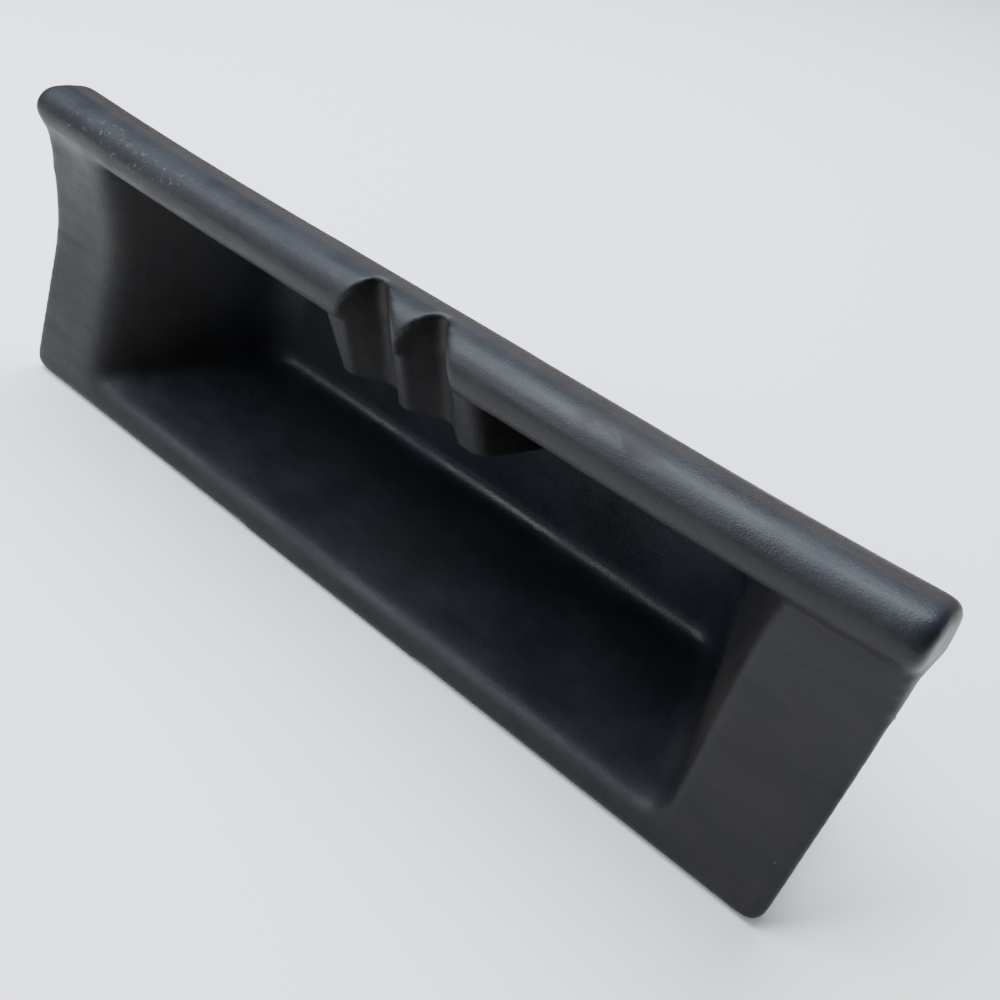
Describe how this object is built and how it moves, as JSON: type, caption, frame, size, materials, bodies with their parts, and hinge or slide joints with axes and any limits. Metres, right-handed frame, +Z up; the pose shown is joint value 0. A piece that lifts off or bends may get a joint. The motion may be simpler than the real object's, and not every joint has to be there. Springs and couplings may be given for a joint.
{
  "type": "car door handle",
  "caption": "Long moulded door pull: a recessed finger pocket under a rounded grip lip with finger flutes at its middle, on a steel armature with studs for the door's inner panel.",
  "frame": {"origin": "centre of the four studs, on the rear faces of the stand-off tubes, which seat on the door's inner panel", "axes": "+X along the handle to the right as seen from inside the car, +Y into the door along the studs, +Z up"},
  "size_m": [0.241, 0.0631, 0.0743],
  "materials": {
    "moulded_skin": "satin moulded skin with fine grain and wear",
    "rod_steel": "drawn bright bar",
    "plated_steel": "zinc plated pressed sheet",
    "coated_strap": "black dip coat",
    "rivet_steel": "bright",
    "stud_steel": "zinc plated",
    "tube_steel": "turned",
    "seal_foam": "closed-cell foam",
    "pad_felt": "needle felt"
  },
  "bodies": {
    "root": {"pocket_moulding": "moulded_skin", "left_grip_rod": "rod_steel", "right_grip_rod": "rod_steel", "left_end_plate": "plated_steel", "right_end_plate": "plated_steel", "back_strap": "coated_strap", "strap_rivets": "rivet_steel", "clinch_studs": "stud_steel", "stand_off_tubes": "tube_steel", "rod_washers": "stud_steel", "rod_nuts": "stud_steel", "left_seal_strip": "seal_foam", "right_seal_strip": "seal_foam", "anti_rattle_pads": "pad_felt"}
  },
  "joints": []
}
